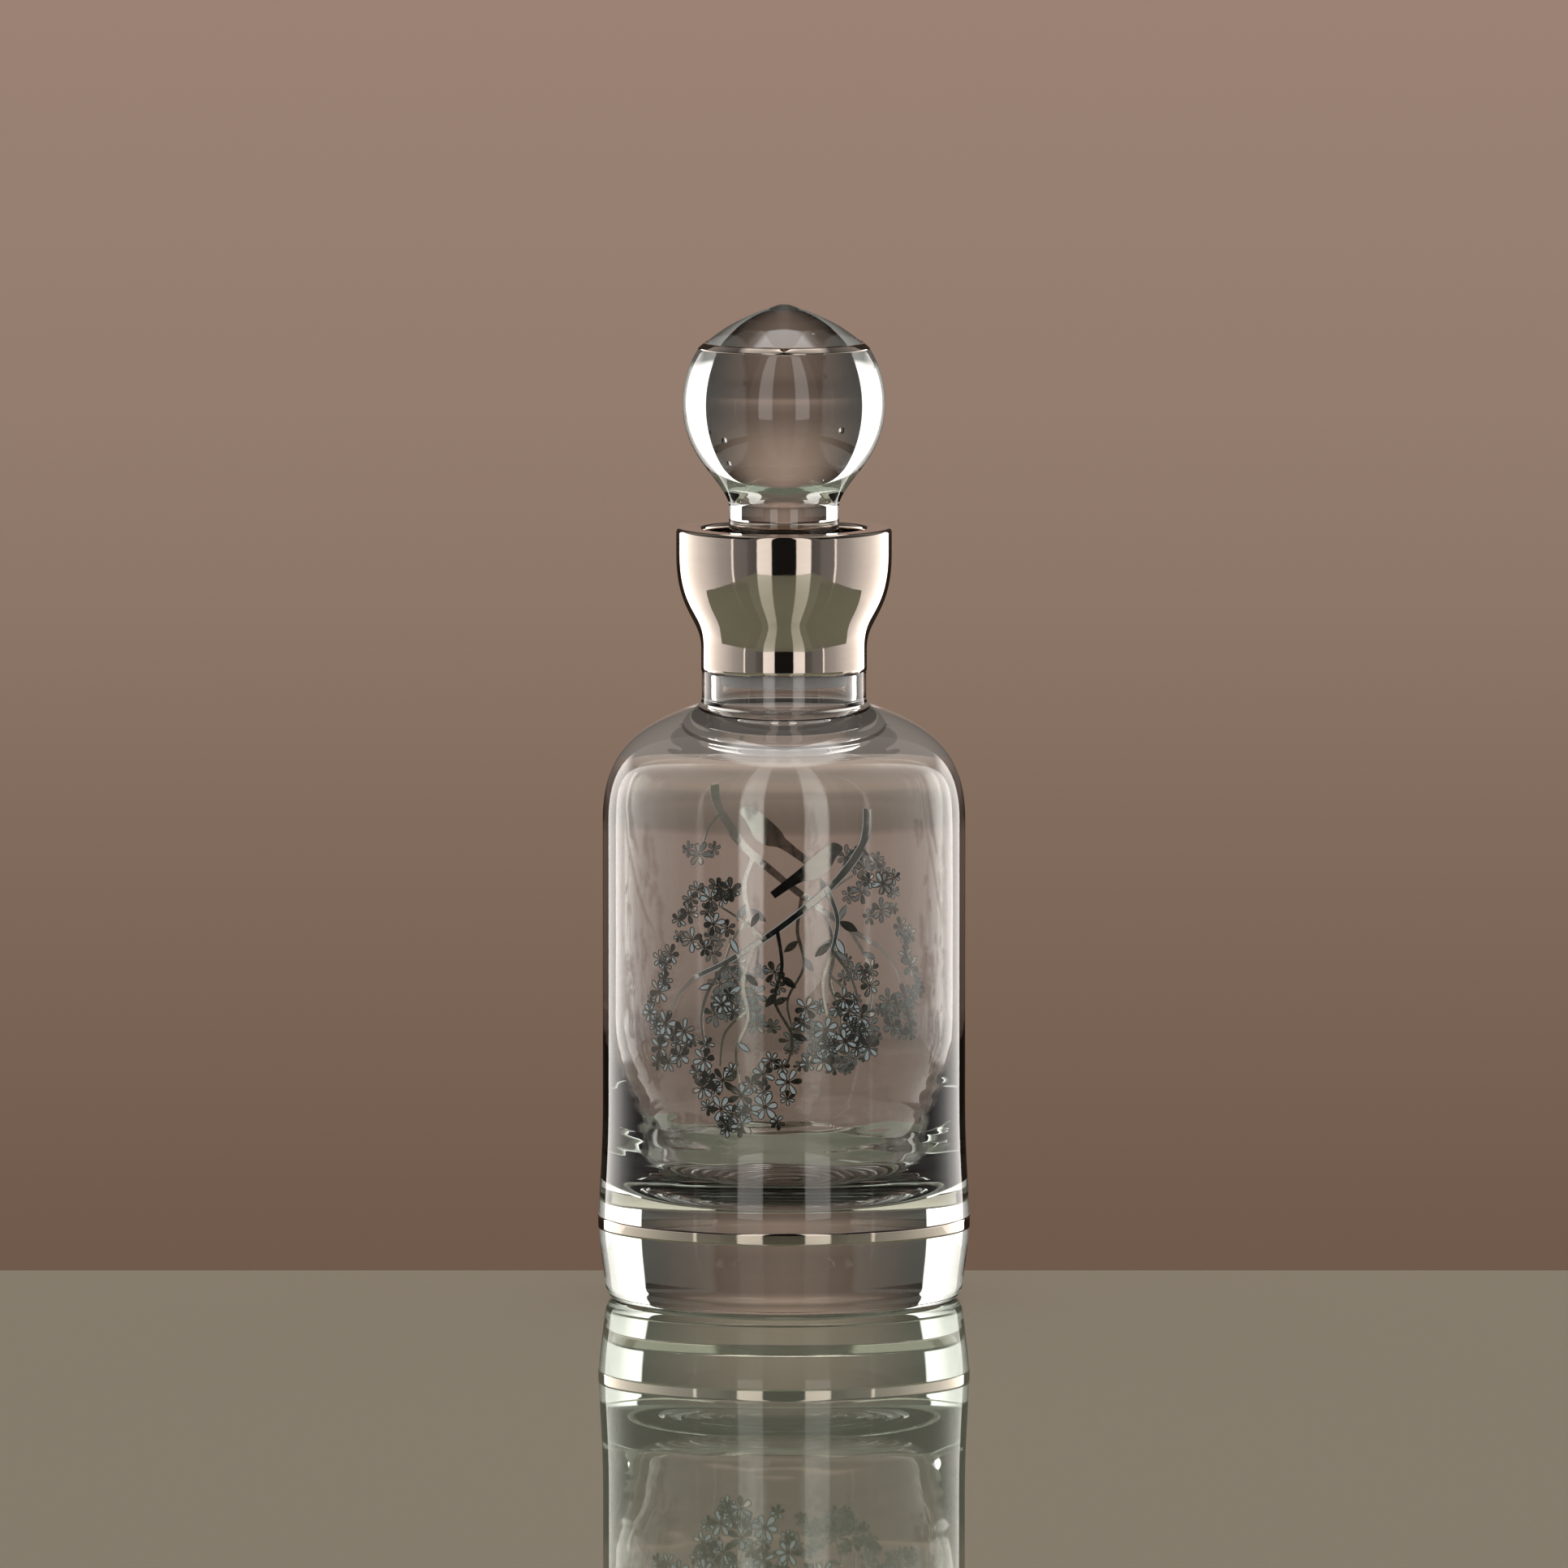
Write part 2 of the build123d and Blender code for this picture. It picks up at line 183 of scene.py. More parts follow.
def lathe(points, segments, finish, ripple):
    """Closed turned surface from a half section that starts and ends on the axis.

    finish maps a tag to a material index; ripple(r, z, tag, x, y) gives a small change of radius."""
    verts, faces, marks = [], [], []
    rings = points[1:-1]
    for r, z, tag in rings:
        for k in range(segments):
            a = 2 * math.pi * k / segments
            c, s = math.cos(a), math.sin(a)
            rr = r + ripple(r, z, tag, r * c, r * s)
            verts.append((rr * c * MM, rr * s * MM, z * MM))
    for i in range(len(rings) - 1):
        for k in range(segments):
            n = (k + 1) % segments
            low, high = i * segments, (i + 1) * segments
            faces.append((low + k, low + n, high + n, high + k))
            marks.append(finish[rings[i + 1][2]])
    first, last = len(verts), len(verts) + 1
    verts += [(0, 0, points[0][1] * MM), (0, 0, points[-1][1] * MM)]
    end = (len(rings) - 1) * segments
    for k in range(segments):
        n = (k + 1) % segments
        faces.append((first, n, k))
        marks.append(finish[points[0][2]])
        faces.append((last, end + k, end + n))
        marks.append(finish[points[-1][2]])
    return verts, faces, marks


def shell(line, thickness, segments, wander):
    """Closed thin coat over a line of (r, z, nr, nz), points with their outward normals.

    wander(i, count, angle) moves the two end rings along z, so that the painted edge is uneven."""
    verts, faces = [], []
    count = len(line)
    for lift in (0.0, thickness):
        for i, (r, z, nr, nz) in enumerate(line):
            for k in range(segments):
                a = 2 * math.pi * k / segments
                rr = r + nr * lift
                zz = z + nz * lift + wander(i, count, a)
                verts.append((rr * math.cos(a) * MM, rr * math.sin(a) * MM, zz * MM))
    far = count * segments
    for i in range(count - 1):
        for k in range(segments):
            n = (k + 1) % segments
            low, high = i * segments, (i + 1) * segments
            a, b, c, d = low + k, low + n, high + n, high + k
            faces.append((far + a, far + b, far + c, far + d))
            faces.append((a, d, c, b))
    for k in range(segments):
        n = (k + 1) % segments
        faces.append((k, n, far + n, far + k))
        e = (count - 1) * segments
        faces.append((e + k, far + e + k, far + e + n, e + n))
    return verts, faces, [0] * len(faces)


def with_normals(points, gap):
    """Half-section points moved out by a gap, each with its outward normal.

    The section runs counter-clockwise."""
    out = []
    for i, p in enumerate(points):
        a, b = points[max(i - 1, 0)], points[min(i + 1, len(points) - 1)]
        dr, dz = b[0] - a[0], b[1] - a[1]
        size = math.hypot(dr, dz) or 1
        nr, nz = dz / size, -dr / size
        out.append((p[0] + nr * gap, p[1] + nz * gap, nr, nz))
    return out


# ---------------------------------------------------------------- materials
GLASS_IOR = 1.52
GLOW_FROM, GLOW_FULL = 0.097, 0.112    # heights in metres between which the shoulder's painted glow fades in


def material(name):
    """A new material with its nodes, links and shader."""
    mat = bpy.data.materials.new(name)
    mat.use_nodes = True
    nodes, links = mat.node_tree.nodes, mat.node_tree.links
    return mat, nodes, links, nodes["Principled BSDF"]


def noise_node(nodes, links, scale, detail=3.0, squash=(1, 1, 1)):
    where = nodes.new("ShaderNodeTexCoord")
    mapping = nodes.new("ShaderNodeMapping")
    mapping.inputs["Scale"].default_value = squash
    links.new(where.outputs["Object"], mapping.inputs["Vector"])
    tex = nodes.new("ShaderNodeTexNoise")
    tex.inputs["Scale"].default_value = scale
    tex.inputs["Detail"].default_value = detail
    links.new(mapping.outputs["Vector"], tex.inputs["Vector"])
    return tex.outputs["Fac"]


def spread(nodes, links, fac, low, high, start=0.3, stop=0.7):
    """Map a value from start..stop to low..high."""
    node = nodes.new("ShaderNodeMapRange")
    node.inputs["From Min"].default_value = start
    node.inputs["From Max"].default_value = stop
    node.inputs["To Min"].default_value = low
    node.inputs["To Max"].default_value = high
    links.new(fac, node.inputs["Value"])
    return node.outputs["Result"]


def bump(nodes, links, fac, strength, distance, shader):
    node = nodes.new("ShaderNodeBump")
    node.inputs["Strength"].default_value = strength
    node.inputs["Distance"].default_value = distance
    links.new(fac, node.inputs["Height"])
    links.new(node.outputs["Normal"], shader.inputs["Normal"])


def glass_material(name, ground=False, glow=0.0):
    """Clear or ground glass.

    The glow, from mid-shoulder up, is painted light: an emission that stands for light that the wall carries
    past the renderer's last bounce.
    """
    mat, nodes, links, shader = material(name)
    shader.inputs["Base Color"].default_value = (0.995, 1.0, 0.998, 1)
    # Warm colour of the painted glow; glass without a glow gives off none.
    shader.inputs["Emission Color"].default_value = (1.0, 0.86, 0.76, 1)
    if glow:
        place = nodes.new("ShaderNodeSeparateXYZ")
        links.new(nodes.new("ShaderNodeTexCoord").outputs["Object"], place.inputs["Vector"])
        fade = spread(nodes, links, place.outputs["Z"], 0.0, glow, GLOW_FROM, GLOW_FULL)
        fade.node.interpolation_type = "SMOOTHSTEP"
        links.new(fade, shader.inputs["Emission Strength"])
    shader.inputs["Transmission Weight"].default_value = 1.0
    shader.inputs["IOR"].default_value = GLASS_IOR
    if ground:
        shader.inputs["Base Color"].default_value = (0.93, 0.95, 0.98, 1)
        shader.inputs["Transmission Weight"].default_value = 0.25
        grain = noise_node(nodes, links, 2600, 4)
        links.new(spread(nodes, links, grain, 0.38, 0.60), shader.inputs["Roughness"])
        bump(nodes, links, grain, 0.25, 0.00004, shader)
    else:
        shader.inputs["Roughness"].default_value = 0.0
        bump(nodes, links, noise_node(nodes, links, 55, 1.5, (1, 1, 0.35)), 0.02, 0.0006, shader)
        soak = nodes.new("ShaderNodeVolumeAbsorption")
        soak.inputs["Color"].default_value = (0.84, 0.96, 0.90, 1)
        soak.inputs["Density"].default_value = 6.0
        links.new(soak.outputs["Volume"], nodes["Material Output"].inputs["Volume"])
    return mat


def polished_base_material(name):
    """The ground and polished underside: clear glass with fine dark turning rings, a dark matt shader mixed
    in everywhere as painted shade under the foot.
    """
    mat = glass_material(name)
    nodes, links = mat.node_tree.nodes, mat.node_tree.links
    glass = nodes["Principled BSDF"]
    where = nodes.new("ShaderNodeTexCoord")
    rings = nodes.new("ShaderNodeTexWave")
    rings.wave_type, rings.rings_direction = "RINGS", "Z"
    rings.inputs["Scale"].default_value = 62.0
    rings.inputs["Distortion"].default_value = 2.5
    rings.inputs["Detail"].default_value = 3.0
    links.new(where.outputs["Object"], rings.inputs["Vector"])
    # Painted shade: a dark matt surface over the whole underside, stronger or weaker with the turning rings.
    painted_under_shade = nodes.new("ShaderNodeBsdfPrincipled")
    painted_under_shade.inputs["Base Color"].default_value = (0.030, 0.023, 0.018, 1)
    painted_under_shade.inputs["Roughness"].default_value = 0.45
    blend = nodes.new("ShaderNodeMixShader")
    links.new(spread(nodes, links, rings.outputs["Fac"], 0.42, 0.80, 0.2, 0.8), blend.inputs["Fac"])
    links.new(glass.outputs["BSDF"], blend.inputs[1])
    links.new(painted_under_shade.outputs["BSDF"], blend.inputs[2])
    links.new(blend.outputs["Shader"], nodes["Material Output"].inputs["Surface"])
    return mat


def metal_material(name, color, rough, marks=0.06):
    """Fired metal film: faint streaks in its colour, gloss and surface."""
    mat, nodes, links, shader = material(name)
    shader.inputs["Metallic"].default_value = 1.0
    streaks = noise_node(nodes, links, 230, 5, (1, 1, 3.0))
    mix = nodes.new("ShaderNodeMix")
    mix.data_type = "RGBA"
    mix.inputs["A"].default_value = (*[c * 0.94 for c in color], 1)
    mix.inputs["B"].default_value = (*[min(c * 1.04, 1) for c in color], 1)
    links.new(streaks, mix.inputs["Factor"])
    links.new(mix.outputs["Result"], shader.inputs["Base Color"])
    gloss = spread(nodes, links, noise_node(nodes, links, 700, 4), rough * 0.6, rough * 1.6)
    links.new(gloss, shader.inputs["Roughness"])
    bump(nodes, links, streaks, marks, 0.00012, shader)
    return mat


def etched_material(name):
    """Pale satin metal of the petals."""
    mat, nodes, links, shader = material(name)
    grain = noise_node(nodes, links, 1500, 4)
    mix = nodes.new("ShaderNodeMix")
    mix.data_type = "RGBA"
    mix.inputs["A"].default_value = (0.50, 0.60, 0.66, 1)
    mix.inputs["B"].default_value = (0.78, 0.86, 0.90, 1)
    links.new(grain, mix.inputs["Factor"])
    links.new(mix.outputs["Result"], shader.inputs["Base Color"])
    shader.inputs["Metallic"].default_value = 0.25
    links.new(spread(nodes, links, grain, 0.35, 0.6), shader.inputs["Roughness"])
    bump(nodes, links, grain, 0.3, 0.00003, shader)
    return mat


CLEAR = glass_material("clear_glass")
GROUND = glass_material("ground_glass", ground=True)
# The shoulder glass has the painted glow: it gives off light though it is no lamp.
CROWN_GLOW_GLASS = glass_material("shoulder_glass_painted_glow", glow=0.085)
BASE = polished_base_material("polished_base")
PLATINUM = metal_material("platinum_mirror", (0.84, 0.73, 0.65), 0.035)
PRINT = metal_material("platinum_print", (0.44, 0.42, 0.38), 0.07, 0.1)
PRINT_DARK = metal_material("platinum_outline", (0.13, 0.125, 0.115), 0.16, 0.1)
PRINT_PALE = etched_material("platinum_etched")

# ---------------------------------------------------------------- glass
SEGMENTS = 256


def bottle_ripple(r, z, tag, x, y):
    """Slight waviness of blown glass: streaks up the wall, rings across it near the foot."""
    if r < 2:
        return 0.0
    if tag in ("in", "crown"):
        ease = min(1.0, max(0.0, (z - 19.0) / 12)) if r < 30 else 1.0
        if z > 112:
            return 0.03 * noise.noise(Vector((x / 9, y / 9, z / 12 + 40)))
        wide = noise.noise(Vector((x / 15, y / 15, z / 50 + 7)))
        fine = noise.noise(Vector((x / 5.5, y / 5.5, z / 30 + 19)))
        low = max(0.0, min(1.0, (60 - z) / 14)) * max(0.0, min(1.0, (r - 22) / 8))
        rings = noise.noise(Vector((x / 16, y / 16, z / 2.2 + 5)))
        rings += 0.5 * noise.noise(Vector((x / 9, y / 9, z / 1.1)))
        return ease * (0.020 * wide + 0.008 * fine + 0.10 * low * rings)
    if tag == "out":
        return 0.005 * noise.noise(Vector((x / 14, y / 14, z / 25 + 3)))
    return 0.0


def ball_ripple(r, z, tag, x, y):
    """Slight waviness of the fire-polished ball."""
    if tag != "out" or z > 196:
        return 0.0
    return 0.012 * noise.noise(Vector((x / 9, y / 9, z / 9)))


# The crown stretch under the shoulder gets the glass with the painted glow.
BOTTLE_FINISH = {"out": 0, "in": 0, "ground": 1, "crown": 2, "under": 3}
verts, faces, marks = lathe(bottle_outline(), SEGMENTS, BOTTLE_FINISH, bottle_ripple)
new_piece("bottle", verts, faces, marks, [CLEAR, GROUND, CROWN_GLOW_GLASS, BASE],
          "bottle", "clear_glass", "bottle_glass")

# Small drawn-out bubbles of air in the ball, as (x, y, z, radius).
BUBBLES = [(11.0, -14.0, 175.9, 0.60), (-11.4, -13.0, 173.9, 0.58), (-10.5, -11.0, 169.3, 0.50),
           (7.4, -9.0, 166.2, 0.25), (17.0, -4.0, 187.4, 0.45), (-13.0, 4.0, 178.0, 0.22),
           (3.5, 6.0, 186.5, 0.2)]
BUBBLE_STRETCH = 1.25                  # how much taller the upper half of a bubble is


def add_bubble(verts, faces, marks, sx, sy, sz, size):
    """Add one bubble, its faces turned towards the air inside it."""
    base, across, up = len(verts), 16, 8
    verts.append((sx * MM, sy * MM, (sz + size * BUBBLE_STRETCH) * MM))
    for i in range(1, up):
        b = math.pi * i / up
        tall = BUBBLE_STRETCH if b < math.pi / 2 else 1.0
        for k in range(across):
            a = 2 * math.pi * k / across
            x = sx + size * math.sin(b) * math.cos(a)
            y = sy + size * math.sin(b) * math.sin(a)
            verts.append((x * MM, y * MM, (sz + size * tall * math.cos(b)) * MM))
    verts.append((sx * MM, sy * MM, (sz - size) * MM))
    tail = len(verts) - 1
    last = base + 1 + (up - 2) * across
    for k in range(across):
        n = (k + 1) % across
        faces.append((base, base + 1 + n, base + 1 + k))
        for i in range(up - 2):
            p, q = base + 1 + i * across, base + 1 + (i + 1) * across
            faces.append((p + k, p + n, q + n, q + k))
        faces.append((tail, last + k, last + n))
        marks += [0] * up


verts, faces, marks = lathe(stopper_outline(), SEGMENTS, {"out": 0, "ground": 1}, ball_ripple)
for bubble in BUBBLES:
    add_bubble(verts, faces, marks, *bubble)
new_piece("stopper", verts, faces, marks, [CLEAR, GROUND], "stopper", "stopper_glass", "stopper_glass")

# ---------------------------------------------------------------- fired metal
GAP, COAT = 0.03, 0.10


def ragged(low_amount, high_amount, seed):
    """How far the hand-painted edge of a coat wanders at its low and its high end."""
    def wander(i, count, a):
        if 0 < i < count - 1:
            return 0.0
        amount = low_amount if i == 0 else high_amount
        return amount * (noise.noise(Vector((3 * math.cos(a), 3 * math.sin(a), seed)))
                         + 0.4 * noise.noise(Vector((11 * math.cos(a), 11 * math.sin(a), seed + 5))))
    return wander


outside = bottle_outline()
is_neck = [p[1] >= 121.2 and p[0] <= NECK_R + 0.01 and p[2] == "out" for p in outside]
start = is_neck.index(True)
stop = next(i for i, p in enumerate(outside) if p[2] == "in" and p[1] <= COLLAR_IN_Z + 0.01)
collar_line = [p for p in outside[start:stop + 1] if p[1] > COLLAR_Z + 0.3 or p[0] > NECK_R + 0.1]
collar_line.insert(0, (NECK_R, COLLAR_Z, "out"))
verts, faces, marks = shell(with_normals(collar_line, GAP), COAT, SEGMENTS, ragged(0.28, 0.4, 2.0))
new_piece("collar_coat", verts, faces, marks, [PLATINUM], "bottle", "platinum", "collar_platinum")

FOOT_BAND = (14.4, 14.8, 15.2, 15.6, 16.0, 16.4, 16.9)
FOOT_BULGE = 0.0048                    # how fast the foot's wall falls away from its widest height
foot_line = [(FOOT_R - FOOT_BULGE * (z - FOOT_Z) ** 2, z, "out") for z in FOOT_BAND]
verts, faces, marks = shell(with_normals(foot_line, GAP + 0.02), COAT, SEGMENTS, ragged(0.07, 0.07, 9.0))
new_piece("foot_band", verts, faces, marks, [PLATINUM], "bottle", "platinum", "foot_band_platinum")

BALL_BAND = (190.9, 192.4)
ball_line = [p for p in stopper_outline() if BALL_BAND[0] <= p[1] <= BALL_BAND[1] and p[0] > 10]
verts, faces, marks = shell(with_normals(ball_line, GAP), COAT, SEGMENTS, ragged(0.08, 0.08, 4.0))
new_piece("ball_band", verts, faces, marks, [PLATINUM], "stopper", "platinum", "ball_band_platinum")

# ---------------------------------------------------------------- the print, drawn flat and laid on the wall
# Points are (s, z): s goes round the wall from the middle of the print, z is the height.
BOUGH = [(17.4, 101.5), (16.4, 95.0), (11.6, 88.4), (4.5, 82.2), (-3.5, 76.2), (-11.5, 71.2), (-19.0, 67.6)]
SIDE_BOUGH = [(8.6, 85.8), (10.8, 79.6), (9.6, 73.0)]
TWIGS = [
    ([(-18.7, 67.7), (-22.6, 63.8), (-24.6, 60.2)], 0.8, 0.4),
    ([(-11.2, 71.4), (-15.4, 65.4), (-17.0, 59.6), (-16.2, 53.6)], 0.8, 0.4),
    ([(-6.0, 74.6), (-8.2, 67.0), (-7.2, 60.0), (-9.6, 53.6), (-8.9, 47.0)], 0.8, 0.4),
    ([(-1.4, 77.8), (-0.4, 70.4), (-1.8, 63.4), (1.6, 56.4), (0.6, 50.6)], 0.8, 0.4),
    ([(-7.4, 61.4), (-12.0, 56.8), (-13.0, 50.2)], 0.6, 0.35),
    ([(9.7, 73.4), (13.4, 68.4), (15.6, 62.6)], 0.7, 0.4),
    ([(9.8, 73.6), (7.8, 67.2), (8.6, 60.6)], 0.7, 0.4),
    ([(-4.0, 76.0), (-8.6, 79.6), (-12.6, 82.0)], 0.6, 0.35),
    ([(15.6, 94.0), (18.6, 91.0), (19.8, 88.8)], 0.6, 0.35),
]
LEAVES = [
    (11.2, 79.2, -28, 4.4, 1.7), (10.4, 76.0, -62, 4.0, 1.5), (9.4, 75.0, -140, 4.2, 1.5),
    (-1.4, 65.2, -128, 3.8, 1.4), (-0.6, 68.4, -38, 3.8, 1.4), (-7.8, 68.8, -42, 3.6, 1.3),
    (-8.4, 66.4, 214, 3.4, 1.3), (-14.4, 66.4, 196, 3.4, 1.2), (-9.2, 72.8, 118, 3.6, 1.3),
    (1.6, 56.8, -22, 3.4, 1.3), (-9.4, 55.0, -34, 3.2, 1.2), (-6.6, 78.2, 62, 3.4, 1.2),
]
CLUSTERS = {
    "upper": [(-15.0, 83.6, 2.3, 5), (-10.8, 85.6, 2.1, 30), (-14.4, 78.6, 2.1, 12), (-19.2, 75.2, 2.2, 22),
              (20.8, 86.4, 2.2, 8), (-19.9, 80.6, 2.0, 40), (-24.4, 72.0, 2.1, 2)],
    "left": [(-27.4, 64.4, 2.3, 18), (-25.6, 58.0, 2.4, 4), (-21.0, 56.8, 2.2, 26), (-30.0, 60.0, 2.0, 10),
             (-22.2, 51.8, 2.3, 33), (-16.4, 51.4, 2.2, 14), (-27.2, 53.2, 2.1, 20), (-12.6, 62.6, 1.9, 7)],
    "lower": [(-12.4, 47.4, 2.3, 9), (-8.6, 44.4, 2.5, 28), (-16.8, 45.6, 2.1, 17), (-12.8, 41.6, 2.4, 3),
              (-4.2, 48.8, 2.1, 36), (-3.8, 42.2, 2.5, 12), (-8.6, 38.6, 2.3, 24), (0.8, 47.2, 2.4, 1)],
    "right": [(16.0, 60.0, 2.5, 6), (8.4, 57.6, 2.4, 21), (12.4, 55.2, 2.2, 34), (17.8, 66.2, 2.1, 15),
              (4.4, 62.0, 2.1, 11), (12.0, 63.8, 1.9, 29), (17.4, 53.8, 2.3, 19), (8.0, 51.4, 2.2, 2)],
}
PETALS = 6
BIRD_AT, BIRD_SIZE = (5.6, 89.6), 0.95
BIRD_BACK = [(6.9, 4.5), (5.6, 5.5), (4.2, 5.7), (2.6, 4.7), (0.4, 3.0), (-2.8, 0.2), (-8.8, -4.6)]
BIRD_BELLY = [(-7.8, -5.9), (-2.6, -2.6), (0.8, -1.9), (3.6, 0.0), (5.2, 2.6), (6.9, 4.5)]
LOW, EDGE_H, FILL_H = 0.03, 0.11, 0.08         # heights of the film's underside, outlines and fillings
METAL, PALE, DARK = 0, 1, 2
PALE_BELOW = 64.0                              # blossoms under this height are mostly pale


def wall_r(z):
    """Outer radius of the glass where the print lies."""
    for (r0, z0, _), (r1, z1, _) in zip(WALL, WALL[1:]):
        if z0 <= z <= z1:
            return r0 + (r1 - r0) * (z - z0) / max(z1 - z0, 1e-6)
    return BODY_R


WALL = [p for p in outside if p[2] == "out" and 30 <= p[1] <= 110]


def smooth(path, steps):
    """Catmull-Rom line through the points."""
    pts = [path[0]] + list(path) + [path[-1]]
    out = []
    for i in range(1, len(pts) - 2):
        p0, p1, p2, p3 = pts[i - 1:i + 3]
        for k in range(steps):
            t = k / steps
            out.append(tuple(0.5 * (2 * b + (c - a) * t + (2 * a - 5 * b + 4 * c - d) * t * t
                                    + (3 * b - a - 3 * c + d) * t ** 3)
                             for a, b, c, d in zip(p0, p1, p2, p3)))
    out.append(tuple(path[-1]))
    return out


class Film:
    """Thin closed plates laid on the wall."""

    def __init__(self, turn):
        self.verts, self.faces, self.marks, self.turn = [], [], [], turn

    def put(self, s, z, lift):
        a = s / BODY_R - math.pi / 2 + self.turn
        r = wall_r(z) + lift
        self.verts.append((r * math.cos(a) * MM, r * math.sin(a) * MM, z * MM))
        return len(self.verts) - 1

    def plate(self, rows, lift, mark):
        """A strip of points, rows of equal length, closed to the wall underneath."""
        top = [[self.put(s, z, lift) for s, z in row] for row in rows]
        low = [[self.put(s, z, LOW) for s, z in row] for row in rows]
        n, m = len(rows), len(rows[0])
        for i in range(n - 1):
            for k in range(m - 1):
                self.faces.append((top[i][k], top[i + 1][k], top[i + 1][k + 1], top[i][k + 1]))
                self.faces.append((low[i][k], low[i][k + 1], low[i + 1][k + 1], low[i + 1][k]))
                self.marks += [mark, mark]
        rim = ([(0, k) for k in range(m)] + [(i, m - 1) for i in range(1, n)]
               + [(n - 1, k) for k in range(m - 2, -1, -1)] + [(i, 0) for i in range(n - 2, 0, -1)])
        for (i, k), (j, q) in zip(rim, rim[1:] + rim[:1]):
            self.faces.append((top[i][k], top[j][q], low[j][q], low[i][k]))
            self.marks.append(mark)

    def ring(self, outer, inner, lift, mark):
        """A closed loop of metal between two outlines of equal count."""
        n = len(outer)
        loops = [[self.put(s, z, h) for s, z in pts] for pts, h in
                 ((outer, LOW), (outer, lift), (inner, lift), (inner, LOW))]
        for k in range(n):
            q = (k + 1) % n
            for a, b in zip(loops, loops[1:] + loops[:1]):
                self.faces.append((a[k], a[q], b[q], b[k]))
                self.marks.append(mark)

    def patch(self, outline, lift, mark):
        """A filled outline, star-shaped about its middle."""
        ms, mz = (sum(p[i] for p in outline) / len(outline) for i in (0, 1))
        top, low = self.put(ms, mz, lift), self.put(ms, mz, LOW)
        upper = [self.put(s, z, lift) for s, z in outline]
        lower = [self.put(s, z, LOW) for s, z in outline]
        n = len(outline)
        for k in range(n):
            q = (k + 1) % n
            self.faces += [(top, upper[k], upper[q]), (low, lower[q], lower[k])]
            self.faces.append((upper[k], lower[k], lower[q], upper[q]))
            self.marks += [mark] * 3


def stroke_rows(path, w_start, w_end, steps, seed):
    """Left to right points across a tapered, slightly uneven brush stroke."""
    line = smooth(path, steps)
    rows = []
    for i, (s, z) in enumerate(line):
        a, b = line[max(i - 1, 0)], line[min(i + 1, len(line) - 1)]
        ds, dz = b[0] - a[0], b[1] - a[1]
        size = math.hypot(ds, dz) or 1
        half = (w_start + (w_end - w_start) * i / (len(line) - 1)) / 2
        half *= 1 + 0.16 * noise.noise(Vector((s * 0.45, z * 0.45, seed)))
        rows.append([(s - dz / size * half * u, z + ds / size * half * u) for u in (1, 0.5, 0, -0.5, -1)])
    return rows


def draw_stroke(film, path, w_start, w_end, seed, edge=0.0):
    """A brush stroke; with an edge it also gets two pale raised lines along its sides."""
    rows = stroke_rows(path, w_start, w_end, 8, seed)
    if not edge:
        film.plate(rows, EDGE_H, METAL)
        return
    film.plate(rows, FILL_H, METAL)
    for side in (0, 4):
        line = []
        for row in rows:
            (s0, z0), (s1, z1) = row[side], row[2]
            size = math.hypot(s1 - s0, z1 - z0) or 1
            k = edge / size
            line.append([(s0, z0), (s0 + (s1 - s0) * k, z0 + (z1 - z0) * k)])
        film.plate(line, EDGE_H, PALE)


def turned(s, z, heading, along, across):
    """The point that lies along and across a heading from (s, z)."""
    c, n = math.cos(math.radians(heading)), math.sin(math.radians(heading))
    return (s + along * c - across * n, z + along * n + across * c)


def petal_outline(s, z, heading, start, length, width, grow):
    """Petal narrow at the heart, round at the tip; grow moves the line out or in."""
    pts = []
    n = 9
    for side in (1, -1):
        for i in range(n):
            t = (i if side == 1 else n - i) / n
            u = 1 - t
            along = (start * u ** 3 + 3 * u * u * t * (start + length * 0.3) + 3 * u * t * t * length
                     + length * t ** 3)
            across = side * (3 * u * u * t * width * 0.6 + 3 * u * t * t * width * 0.75)
            mid = start + (length - start) * 0.62
            k = 1 + grow / max(width * 0.5, 0.1)
            kl = 1 + grow / max((length - start) * 0.5, 0.1)
            pts.append(turned(s, z, heading, mid + (along - mid) * kl, across * k))
    return pts


def leaf_outline(s, z, heading, length, width, grow):
    """Pointed leaf; grow moves the line out or in."""
    pts = []
    n = 8
    for side in (1, -1):
        for i in range(n):
            t = (i if side == 1 else n - i) / n
            across = side * (width / 2 + grow) * math.sin(math.pi * t) ** 0.9
            kl = 1 + grow * 2 / length
            pts.append(turned(s, z, heading, length / 2 + (t - 0.5) * length * kl, across))
    return pts


def draw_leaf(film, rng, s, z, heading, length, width):
    outer, inner = (leaf_outline(s, z, heading, length, width, grow) for grow in (0.06, -0.16))
    film.ring(outer, inner, EDGE_H, DARK)
    film.patch(inner, FILL_H, PALE if rng.random() < 0.35 else DARK)


def draw_blossom(film, rng, s, z, radius, turn, up):
    """One blossom of outlined petals round a dark heart; up lifts it clear of its neighbours."""
    share = 0.62 if z < PALE_BELOW else 0.30
    for k in range(PETALS):
        heading = turn + 360 / PETALS * k + rng.uniform(-8, 8)
        length = radius * rng.uniform(1.0, 1.25)
        width = radius * rng.uniform(0.44, 0.56)
        outer = petal_outline(s, z, heading, radius * 0.16, length, width, 0.05)
        inner = petal_outline(s, z, heading, radius * 0.16, length, width, -0.17)
        film.ring(outer, inner, EDGE_H + up, DARK)
        draw = rng.random()
        film.patch(inner, FILL_H + up, PALE if draw < share else DARK if draw < share + 0.30 else METAL)
    film.patch([turned(s, z, 40 * k, radius * 0.17, 0) for k in range(9)], EDGE_H + up, DARK)


